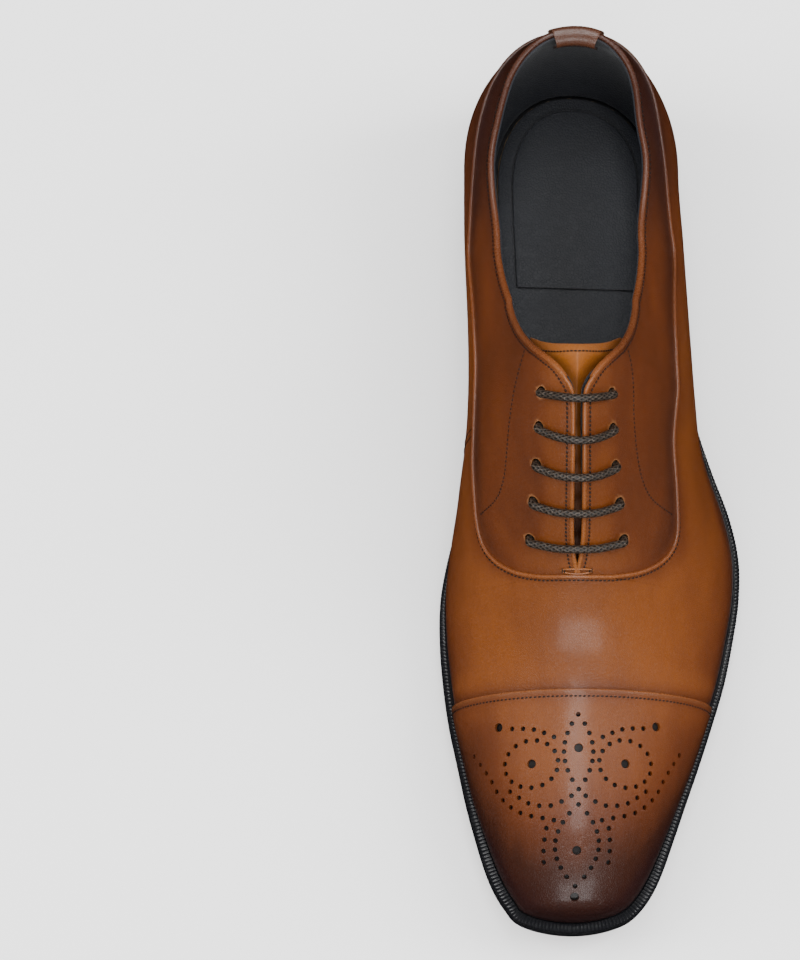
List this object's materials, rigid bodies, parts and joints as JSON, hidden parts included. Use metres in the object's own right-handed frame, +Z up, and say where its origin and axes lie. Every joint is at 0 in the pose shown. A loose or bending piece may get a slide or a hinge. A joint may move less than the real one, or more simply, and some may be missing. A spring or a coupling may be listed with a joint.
{
  "type": "oxford shoe",
  "caption": "Left leather cap-toe oxford with a punched toe medallion, closed lacing, leather sole with a rubber forepart insert and a low stacked heel.",
  "frame": {"origin": "middle of the shoe's bounding box, on the ground under the sole", "axes": "+Z up, toe towards -Y, heel towards +Y, +X towards the outside of the left foot"},
  "size_m": [0.1042, 0.3045, 0.1158],
  "materials": {
    "upper_leather": "hand-burnished cognac calf, waxed",
    "tongue_leather": "lighter tan calf, waxed",
    "lining_leather": "navy goat lining, matt",
    "board": "leather board",
    "metal": "dull plated",
    "lace_cotton": "round waxed cotton braid",
    "edge_leather": "black waxed edge, satin",
    "sole_leather": "stained and polished red-brown sole leather",
    "rubber": "fine-textured black rubber",
    "cork": "cork filler"
  },
  "bodies": {
    "shoe": {"toe_cap": "upper_leather", "vamp": "upper_leather", "medial_galosh": "upper_leather", "lateral_quarter": "upper_leather", "medial_quarter": "upper_leather", "collar_binding": "upper_leather", "heel_tab": "upper_leather", "vamp_lining": "lining_leather", "quarter_lining": "lining_leather", "sock_lining": "lining_leather", "heel_pad": "lining_leather", "toe_puff": "board", "heel_counter": "board", "lateral_facing_stay": "board", "medial_facing_stay": "board", "insole_board": "board", "lateral_eyelet_1": "metal", "lateral_eyelet_2": "metal", "lateral_eyelet_3": "metal", "lateral_eyelet_4": "metal", "lateral_eyelet_5": "metal", "medial_eyelet_1": "metal", "medial_eyelet_2": "metal", "medial_eyelet_3": "metal", "medial_eyelet_4": "metal", "medial_eyelet_5": "metal", "lace": "lace_cotton", "lateral_aglet": "lace_cotton", "medial_aglet": "lace_cotton", "welt": "edge_leather", "heel_rand": "edge_leather", "heel_lift_upper": "edge_leather", "heel_lift_lower": "edge_leather", "outsole": "sole_leather", "forepart_tread": "rubber", "top_piece": "rubber", "forepart_filler": "cork", "heel_filler": "cork"},
    "tongue_flap": {"tongue": "tongue_leather"}
  },
  "joints": [
    {"name": "tongue_fold", "type": "hinge", "parent": "shoe", "child": "tongue_flap", "pos_m": [-0.007, -0.0418, 0.0592], "axis": [1, 0, 0], "range_deg": [-12, 0], "stiffness_Nm_per_rad": 0.05, "springref_deg": 17.19}
  ]
}
